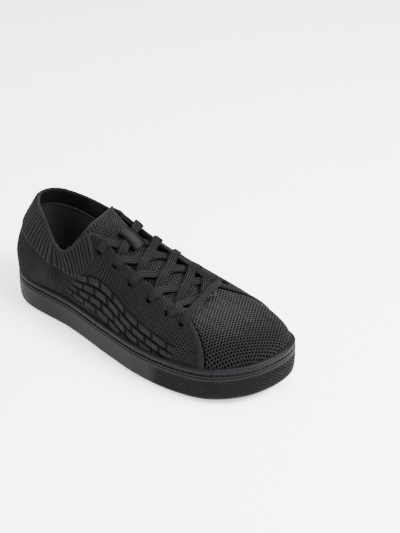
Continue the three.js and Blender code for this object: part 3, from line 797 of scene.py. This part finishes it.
def tongue():
    """The padded mesh tongue under the lace, its rounded free end standing above the collar."""
    rows, columns = 230, 150
    w = np.linspace(-1, 1, columns)[None, :]
    rounded = 1 - 0.05 * smooth(np.abs(w), 0.35, 1) ** 2 - 0.06 * smooth(w, 0.15, 0.5)
    t = np.linspace(0, TONGUE_END, rows)[:, None] * rounded
    t, w = np.broadcast_arrays(t, w)
    face = tongue_points(t, w)
    over = np.maximum(0, face[..., 2] - face[..., 2].max() + 9)
    face[..., 2] = face[..., 2] - 0.045 * over ** 2
    normal = unit(np.cross(np.gradient(face, axis=1), np.gradient(face, axis=0)))
    from_side, up = arc(face, 1), arc(face, 0)
    across = from_side - from_side[:, columns // 2][:, None]
    from_edge = np.minimum(np.minimum(from_side, from_side[:, -1:] - from_side), up[-1:] - up)
    edge = 1 - smooth(from_edge, 2.4, 4.0)
    holes = honeycomb(across, up, MESH_PITCH, 0.82) * (1 - edge)
    roll = 1.3 * (1 - np.sqrt(1 - (1 - np.clip(from_edge / 1.6, 0, 1)) ** 2))
    raised = 0.35 * edge - 0.7 * holes - roll
    points = face + normal * raised[..., None]
    made = add_mesh("tongue_mesh", points, grid_faces(rows, columns), FINISH["mesh"],
                    np.stack([across, up], -1), open_mesh=1 - edge)
    apply_modifier(made, "SOLIDIFY", thickness=(TONGUE_THICKNESS - 0.6) * MM, offset=-1)
    return finish_piece(made, ["tongue"])


# ---- lace ----

EYELETS = {"lateral": LATERAL_EYELETS, "medial": MEDIAL_EYELETS}
OPPOSITE = {"lateral": "medial", "medial": "lateral"}
UP = np.array([0.0, 0.0, 1.0])

# How far the lace's two strands lie above and below the sheet across the opening where they cross.
UPPER_LEVEL, LOWER_LEVEL = 0.9, -1.2
BAR_RISE = 2.6


def station(at, lift, width=LACE_WIDTH):
    """A place on a band's route: its centre, the direction its upper face looks, its width."""
    return np.asarray(at), np.asarray(lift), width


def flat_on(u, v, depth, width, flip):
    """A station that lies flat under the knit; flip -1 turns the band's other face outwards."""
    return station(under(u, v, depth), outward(u, v) * flip, width)


def edge_at(side, x):
    """The place on one edge of the opening that has a given x, found by halving."""
    high, low = (turn(8.6), turn(4)) if side == "lateral" else (turn(9.4), turn(14))
    for _ in range(24):
        middle = (low + high) / 2
        beyond = closed_curve(OPENING_POINTS, np.array(middle))[0] > x
        low, high = (low, middle) if beyond else (middle, high)
    return low


def eyelet_x(u):
    return surface(u, eyelet_v(u))[0]


def edge_towards(side, u, goal):
    """The place on the edge where a strand from an eyelet at u to one at goal crosses it."""
    return edge_at(side, mix(eyelet_x(u), eyelet_x(goal), 0.08))


def beside(u, edge, share, depth, width, flip):
    """A station part of the way from an eyelet to the edge of the opening."""
    return flat_on(mix(u, edge, share), mix(eyelet_v(u), 1, share), depth, width, flip)


def through_eyelet(u, edge, flip):
    """The stations above an eyelet and in it, for a band that goes down through it."""
    v = float(eyelet_v(u))
    onward = unit(surface(u, v) - surface(mix(u, edge, 0.2), mix(v, 1, 0.2)))
    return [
        beside(u, edge, 0.2, LACE_TOP - 0.6, 6.4, flip),
        station(under(u, v, 1.6), onward * flip, 5.4),
    ]


def strand_ends(side, row, flip):
    """Where a strand comes out from under one edge of the opening and passes over the other."""
    other = OPPOSITE[side]
    start, end = EYELETS[side][row], EYELETS[other][row + 1]
    out, home = edge_towards(side, start, end), edge_towards(other, end, start)
    leave = flat_on(out, 0.99, LACE_UNDER + 0.58, LACE_WIDTH, -flip)
    arrive = flat_on(home, 1.0, LACE_TOP - 1.3, LACE_WIDTH, -flip)
    return start, end, out, home, leave, arrive


def on_throat(x, y):
    """A point on the sheet stretched straight across between the opening's edges."""
    a, b = (closed_curve(OPENING_POINTS, np.array(edge_at(side, x))) for side in EYELETS)
    return np.array([x, y, mix(a[2], b[2], (y - a[1]) / (b[1] - a[1]))])


def throat_up(x, y):
    along = on_throat(x + 4, y) - on_throat(x - 4, y)
    across = on_throat(x, y + 4) - on_throat(x, y - 4)
    return unit(np.cross(along, across))


def crossing(row):
    """Where the two strands of a row cross, seen from above."""
    (a_from, a_to), (b_from, b_to) = (
        (ends[4][0], ends[5][0]) for ends in (strand_ends(side, row, 1) for side in EYELETS))
    along_a, along_b, apart = a_to - a_from, b_to - b_from, b_from - a_from
    turned = along_a[0] * along_b[1] - along_a[1] * along_b[0]
    share = (apart[0] * along_b[1] - apart[1] * along_b[0]) / turned
    at = a_from + along_a * share
    return on_throat(at[0], at[1])


def strand(side, row, flip):
    """One crossing: from under an eyelet, over the far edge, down through the next eyelet."""
    start, end, out, home, leave, arrive = strand_ends(side, row, flip)
    level = UPPER_LEVEL if side == "lateral" else LOWER_LEVEL
    reach = 6.8 if row == 0 else 10
    along = unit((arrive[0] - leave[0]) * np.array([1, 1, 0]))
    crossing_part = []
    for step in (-reach, 0, reach):
        at = crossing(row) + along * step
        lift = throat_up(at[0], at[1])
        crossing_part.append(station(on_throat(at[0], at[1]) + lift * level, lift * -flip))
    return [
        beside(start, out, 0.2, LACE_UNDER + 0.2, 5.0, -flip),
        leave,
        *crossing_part,
        arrive,
        beside(end, home, 0.5, LACE_TOP - 1.1, LACE_WIDTH * 0.95, -flip),
        *through_eyelet(end, home, -flip),
    ]


def tail_at(side, step, flip):
    """A station of the lace's end, tucked back under the knit beyond the last eyelet."""
    start = EYELETS[side][-1]
    direction = 1 if side == "lateral" else -1
    v = eyelet_v(start) - 0.13 * math.sqrt(step)
    return flat_on(start + direction * turn(0.08 + 0.32 * step), v, LACE_UNDER + 0.25 * step, 4.5, flip)


def bar_edge(side):
    """The place on the opening's edge that the bar across the toe end runs towards."""
    first = EYELETS[side][0]
    return mix(first, edge_at(side, eyelet_x(first)), 0.6)


def half(side):
    """The stations from one of the first eyelets up through every crossing to a tucked end."""
    first = EYELETS[side][0]
    route = through_eyelet(first, bar_edge(side), 1)[1:]
    start, flip = side, 1
    for row in range(EYELET_PAIRS - 1):
        route += strand(start, row, flip)
        start, flip = OPPOSITE[start], -flip
    return route + [tail_at(start, step, -flip) for step in range(5)]


def bar():
    """The stations of the straight stretch across the toe end of the opening."""
    down = [through_eyelet(EYELETS[side][0], bar_edge(side), 1)[0] for side in EYELETS]
    across = []
    for share in np.linspace(0.2, 0.8, 4):
        rise = BAR_RISE * (1 - (2 * share - 1) ** 4)
        across.append(station(mix(down[0][0], down[1][0], share) + UP * rise, UP))
    return [down[0], *across, down[1]]


def smooth_route(route, step):
    """A curve through the stations whose bends stay near them, sampled at an even step."""
    at, lift, width = (np.array(values) for values in zip(*route))
    chord = np.linalg.norm(np.diff(at, axis=0), axis=1)
    tangent = np.gradient(at, axis=0)
    reach = np.minimum(np.r_[chord[0], chord], np.r_[chord, chord[-1]])
    tangent = unit(tangent) * reach[:, None] * 1.1
    points, lifts, widths = [], [], []
    for i, length in enumerate(chord):
        count = max(3, int(length / step))
        t = np.linspace(0, 1, count, endpoint=False)[:, None]
        h = (2 * t**3 - 3 * t**2 + 1, t**3 - 2 * t**2 + t, -2 * t**3 + 3 * t**2, t**3 - t**2)
        points.append(h[0] * at[i] + h[1] * tangent[i] + h[2] * at[i + 1] + h[3] * tangent[i + 1])
        share = t * t * (3 - 2 * t)
        lifts.append(mix(lift[i], lift[i + 1], share))
        widths.append(mix(width[i], width[i + 1], share[:, 0]))
    points = np.concatenate(points)
    along = unit(np.gradient(points, axis=0))
    lifts = np.concatenate(lifts)
    lifts = unit(lifts - along * (lifts * along).sum(1, keepdims=True))
    return points, along, lifts, np.concatenate(widths)


def end_caps(rings, around):
    """Faces from the first and last ring to the two points that follow the grid of rings."""
    centre, last = rings * around, (rings - 1) * around
    i = np.arange(around)
    j = (i + 1) % around
    front = np.stack([np.full(around, centre), j, i, np.full(around, centre)], -1)
    back = np.stack([np.full(around, centre + 1), last + i, last + j, np.full(around, centre + 1)], -1)
    return np.concatenate([front, back])


def ribbon(name, route, thickness, material, ridges):
    """A flat band along a route: rounded edges and lengthwise ridges on both faces."""
    around = 76
    points, along, lift, width = smooth_route(route, 1.0)
    side = np.cross(lift, along)
    a = np.linspace(0, 2 * np.pi, around, endpoint=False)
    across = np.sign(np.cos(a)) * np.abs(np.cos(a)) ** 0.62
    body = np.sign(np.sin(a)) * np.abs(np.sin(a)) ** 0.5
    ridge = 0.5 + 0.5 * np.cos(2 * np.pi * across * ridges / 2 * 0.98)
    high = body * (0.5 + 0.5 * ridge)
    rings = (points[:, None] + side[:, None] * (across * 0.5)[None, :, None] * width[:, None, None]
             + lift[:, None] * (high * thickness / 2)[None, :, None])
    length = arc(points[None], 1)[0]
    uv = np.stack(np.broadcast_arrays(across[None] * 3.5, length[:, None]), -1)
    # painted shade in the furrows between the ridges and a painted highlight along their crests
    shade = np.broadcast_to(mix(0.08, 1.5, ridge)[None], rings.shape[:2])
    faces = grid_faces(len(points), around, closed=True)
    all_points = np.concatenate([rings.reshape(-1, 3), points[[0, -1]]])
    faces = np.concatenate([faces, end_caps(len(points), around)])
    uv = np.concatenate([uv.reshape(-1, 2), np.zeros((2, 2))])
    shade = np.concatenate([shade.reshape(-1), np.ones(2)])
    piece = add_mesh(name, all_points, faces, material, uv, shade)
    apply_modifier(piece, "WELD", merge_threshold=0.000001)
    return piece, length[-1]


def lace():
    """One band from end to end, over the toe end of the opening and up both sides."""
    route = list(reversed(half("lateral"))) + bar() + half("medial")
    piece, length = ribbon("lace_band", route, LACE_THICKNESS, FINISH["lace"], 4)
    print("lace length, mm:", round(length))
    return finish_piece(piece, ["lace"])


KEEPER_LENGTH, KEEPER_WIDTH, KEEPER_THICKNESS = 22.0, 12.5, 1.1


def throat_middle(t):
    return (under(outer_row(t), 1.0, 0.0) + under(inner_row(t), 1.0, 0.0)) / 2


def keeper():
    """The loop of webbing over the last crossing, its two ends on the tongue."""
    last = crossing(EYELET_PAIRS - 2)
    centre = on_throat(last[0], last[1] + 5.0)
    lift = throat_up(centre[0], centre[1])
    slope = throat_middle(0.9) - throat_middle(0.8)
    slope = unit(slope - lift * (slope @ lift))
    crest = UPPER_LEVEL + LACE_THICKNESS / 2 + KEEPER_THICKNESS / 2 + GAP
    foot = TONGUE_CROWN - TONGUE_DEPTH + KEEPER_THICKNESS / 2 + 2.5
    route = []
    for s in np.linspace(-1, 1, 9):
        height = mix(crest, foot, abs(s) ** 3)
        route.append(station(centre - slope * s * KEEPER_LENGTH / 2 + lift * height, lift, KEEPER_WIDTH))
    piece = ribbon("keeper_webbing", route, KEEPER_THICKNESS, FINISH["webbing"], 1)[0]
    return finish_piece(piece, ["lace_keeper"], bends=False)


# ---- sole ----

# The sole's side from the ground to the inside of its rim, each point as its inset and height:
# the wall, a thin line, the groove of the stitching, the rounded rim and the rim's inner slope.
SOLE_SIDE = [
    (3.2, 0), (1.9, 0.35), (0.9, 1.6), (0.45, 3.2), (0.2, 5), (0.0, 8.5), (-0.1, 12), (0.0, 16),
    (0.1, 20.6), (0.15, 21.2), (0.8, 21.4), (0.8, 21.8), (0.15, 22.0), (0.15, 23.2),
    (0.5, 23.7), (1.2, 24.0), (1.3, 24.6), (1.2, 25.1), (0.5, 25.4), (0.35, 25.9), (0.4, 27.6),
    (0.8, 28.6), (1.6, 29.3), (2.6, 29.5), (4.4, 29.4), (5.8, 28.9), (6.8, 28.2), (6.7, 27.6),
    (5.0, 26.6),
]
SOLE_EDGE = SOLE_SIDE[0][0]
KNURL_PITCH, KNURL_GROOVE = 3.6, 0.9


def even_turns(count):
    """Places round the outline that lie evenly along its length, and that length."""
    u = np.linspace(0, 1, 4000)
    at = outline(u, 0.0)
    length = np.r_[0, np.cumsum(np.linalg.norm(np.diff(at, axis=0), axis=1))]
    return np.interp(np.linspace(0, length[-1], count, endpoint=False), length, u), length[-1]


SPINE = ((-98, 0), (92, 3))


def towards_spine(at, f):
    """Moves a ring of points towards a line down the middle of the sole, which f 1 reaches."""
    (x0, y0), (x1, y1) = SPINE
    x = np.clip(at[:, 0] * 0.86, x0, x1)
    spine = np.stack([x, mix(y0, y1, (x - x0) / (x1 - x0))], -1)
    return mix(at, spine, f)


def ring(at, z):
    """A ring of points at a height above the ground, lifted with the toe."""
    return np.concatenate([at, (z + toe_spring(at[:, 0]))[:, None]], 1)


def tread(at, f):
    """Depth of the zigzag tread under the sole."""
    zigzag = 4 * np.abs((at[:, 1] / 14) % 1 - 0.5)
    return lines(at[:, 0] + 3.5 * zigzag, 7.0, 1.4) * smooth(f, 0.16, 0.2)


def knurl(around, z, u):
    """1 in the crossed slanting grooves round the toe's wall, 0 elsewhere."""
    left = lines(around + 1.2 * z, KNURL_PITCH, KNURL_GROOVE)
    right = lines(around - 1.2 * z, KNURL_PITCH, KNURL_GROOVE)
    toe = smooth(u * TURNS, 5.3, 5.6) * (1 - smooth(u * TURNS, 12.4, 12.7))
    return np.maximum(left, right) * smooth(z, 2.6, 3.4) * (1 - smooth(z, 18.6, 19.4)) * toe


def side_steps(step=0.62):
    """The points of the sole's side with more points between them, about a step apart."""
    steps = []
    for (a_in, a_z), (b_in, b_z) in zip(SOLE_SIDE, SOLE_SIDE[1:]):
        pieces = max(1, int(math.hypot(b_in - a_in, b_z - a_z) / step))
        steps += [(mix(a_in, b_in, i / pieces), mix(a_z, b_z, i / pieces)) for i in range(pieces)]
    return steps + [SOLE_SIDE[-1]]


def outsole():
    """The rubber cup, as rings from under the foot, up the side, over the rim and into the cup."""
    count = 1300
    u, length = even_turns(count)
    around = np.arange(count) / count * length
    rings, shades = [], []

    def keep(points, shade):
        rings.append(points)
        shades.append(np.broadcast_to(shade, count))

    for f in np.linspace(1, 0, 26)[:-1]:
        at = towards_spine(outline(u, SOLE_EDGE), f)
        groove = tread(at, f)
        # painted shade in the tread's grooves
        keep(ring(at, groove), 1 - 0.6 * groove)
    for inset, z in side_steps():
        # painted shade in the knurl's grooves and in the stitching groove
        cut = knurl(around, z, u)
        in_groove = (23.6 < z < 25.5 or 21.3 < z < 21.9) and inset > 0.4
        keep(ring(outline(u, inset + 0.6 * cut), z), (1 - 0.85 * cut) * (0.25 if in_groove else 1.0))
    inner = outline(u, WALL)
    # the inside of the cup gets painted shade
    for z in np.linspace(26, FLOOR, 10):
        keep(ring(inner, z), 0.4)
    for f in np.linspace(0.1, 1, 8):
        keep(ring(towards_spine(inner, f), FLOOR), 0.4)
    points = np.array(rings)
    made = add_mesh("cup_sole", points, grid_faces(len(rings), count, closed=True), FINISH["rubber"],
                    stack_uv(points, around), np.array(shades), weld=True)
    return finish_piece(made, ["outsole_rear", "outsole_front"])


def sole_stitches():
    """Single stitches of round thread, end to end in the groove."""
    count, size, rows, around = 160, 0.9, 9, 8
    u, length = even_turns(count)
    pitch = length / count
    at = ring(outline(u, 1.0), STITCH_HEIGHT)
    along = unit(ring(outline(u + 1e-3, 1.0), STITCH_HEIGHT) - at)
    out = unit(np.cross(along, UP))
    lift = np.cross(out, along)
    s = np.linspace(-1, 1, rows)
    fat = np.sqrt(np.maximum(0.02, 1 - np.abs(s) ** 4)) * size / 2
    a = np.linspace(0, 2 * np.pi, around, endpoint=False)
    sink = -0.5 * s**4
    local = (along[:, None, None] * (s * pitch * 0.46)[None, :, None, None]
             + out[:, None, None] * (fat[:, None] * np.cos(a) + sink[:, None])[None, :, :, None]
             + lift[:, None, None] * (fat[:, None] * np.sin(a))[None, :, :, None])
    points = at[:, None, None] + local
    one = grid_faces(rows, around, closed=True)[:, ::-1]
    faces = np.concatenate([one + i * rows * around for i in range(count)])
    uv = np.stack(np.broadcast_arrays(a[None, None] * size / 2, (s * pitch / 2)[None, :, None]), -1)
    uv = np.broadcast_to(uv, points.shape[:3] + (2,))
    made = add_mesh("sole_stitches", points, faces, FINISH["thread"], uv)
    return finish_piece(made, ["sole_thread_rear", "sole_thread_front"])


def layer(name, inset, bottom, top, slot, nodes, dish=0.0):
    """A flat layer inside the shoe: its edge rounded, its top dished."""
    count = 420
    edge = outline(even_turns(count)[0], inset)
    rings = []

    def keep(at, z):
        rings.append(np.concatenate([at, z[:, None]], 1))

    for f in np.linspace(1, 0.04, 5):
        at = towards_spine(edge, f)
        keep(at, bottom(at[:, 0]))
    for s in np.linspace(0, 1, 5):
        at = towards_spine(edge, 0.02 * (2 * s - 1) ** 2)
        keep(at, mix(bottom(at[:, 0]), top(at[:, 0]) + dish, s))
    for f in np.linspace(0.04, 1, 16):
        at = towards_spine(edge, f)
        keep(at, top(at[:, 0]) + dish * (1 - smooth(f, 0, 0.5)))
    points = np.array(rings)
    faces = grid_faces(len(rings), count, closed=True)
    made = add_mesh(name, points, faces, FINISH[slot], points[..., :2], weld=True)
    return finish_piece(made, nodes)


def inner_layers():
    """Midsole, lasting board and sockliner, each lying on the one before."""
    inside = WALL + 1 + KNIT + STIFFENER + LINING + 4 * GAP + 1.5
    board, sock = 2.0, 4.0
    layer("midsole_foam", WALL + GAP, lambda x: FLOOR + GAP + toe_spring(x), lambda x: seat(x) - GAP / 2,
          "foam", ["midsole_rear", "midsole_front"])
    layer("lasting_board_sheet", inside, lambda x: seat(x) + GAP, lambda x: seat(x) + GAP + board,
          "board", ["lasting_board_rear", "lasting_board_front"])
    low = 2 * GAP + board
    insole = layer("sockliner_pad", inside, lambda x: seat(x) + low, lambda x: seat(x) + low + sock - 0.8,
                   "lining", ["sockliner_rear", "sockliner_front"], dish=0.8)


def lace_tips():
    """The lace's two tips keep the shape they have in the frame and get their finish."""
    for side in EYELETS:
        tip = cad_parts[f"lace_tip_{side}"]
        tip.data.materials.clear()
        tip.data.materials.append(FINISH["film"])


add_camera()
add_lights()
add_world()
add_floor()
outsole()
sole_stitches()
inner_layers()
toe_box()
quarter("lateral")
quarter("medial")
rib_collar()
collar_lining()
stiffeners()
tongue()
lace()
keeper()
lace_tips()
